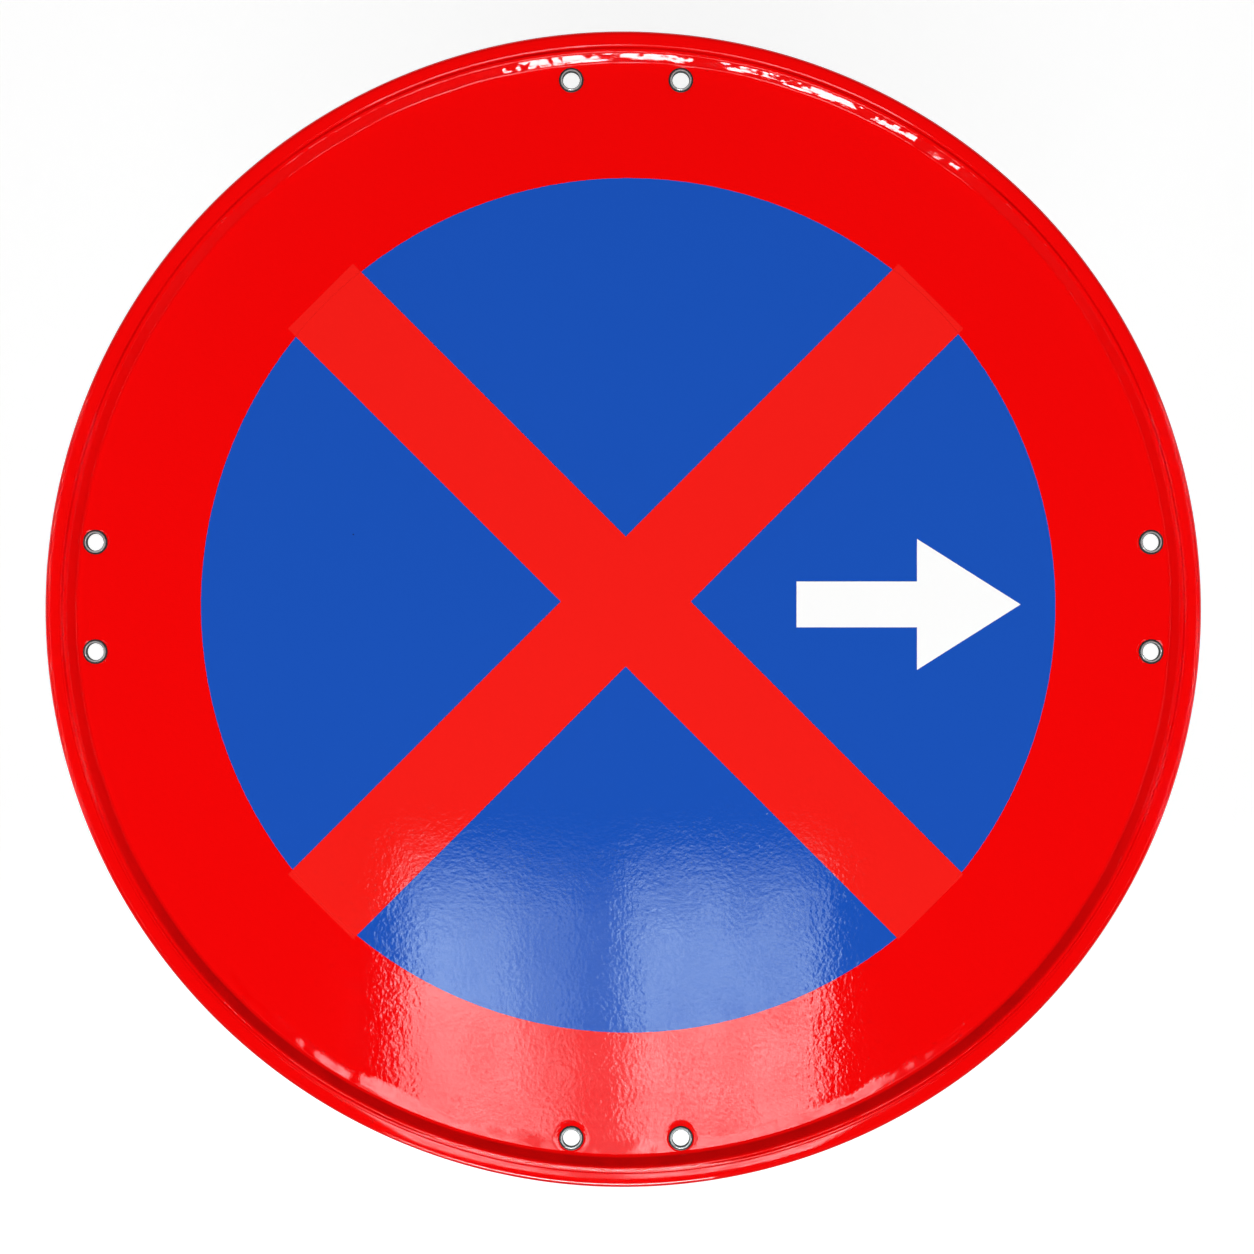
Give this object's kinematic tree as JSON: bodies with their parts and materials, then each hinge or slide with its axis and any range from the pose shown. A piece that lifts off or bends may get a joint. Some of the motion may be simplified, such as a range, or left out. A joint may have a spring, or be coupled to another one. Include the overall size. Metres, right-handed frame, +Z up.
{
  "type": "round parking sign",
  "caption": "Round pressed steel sign with a raised rim, a blue disc with a red saltire and a white arrow pointing right, and pairs of eyelets for post clamps.",
  "frame": {"origin": "the sign's centre, on the back of its face panel, where a post clamp bears", "axes": "+X to the right as a driver sees the sign, +Y from the face towards the post behind it, +Z up"},
  "size_m": [0.5999, 0.025, 0.6],
  "materials": {
    "painted_plate": "gloss paint with a fine orange-peel texture",
    "blue_film": "gloss",
    "red_film": "gloss",
    "white_film": "gloss",
    "bare_steel": "plain zinc-plated steel"
  },
  "bodies": {
    "root": {"sign_plate": "painted_plate", "blue_disc_film": "blue_film", "red_saltire_film": "red_film", "white_arrow_film": "white_film", "eyelets": "bare_steel"}
  },
  "joints": []
}
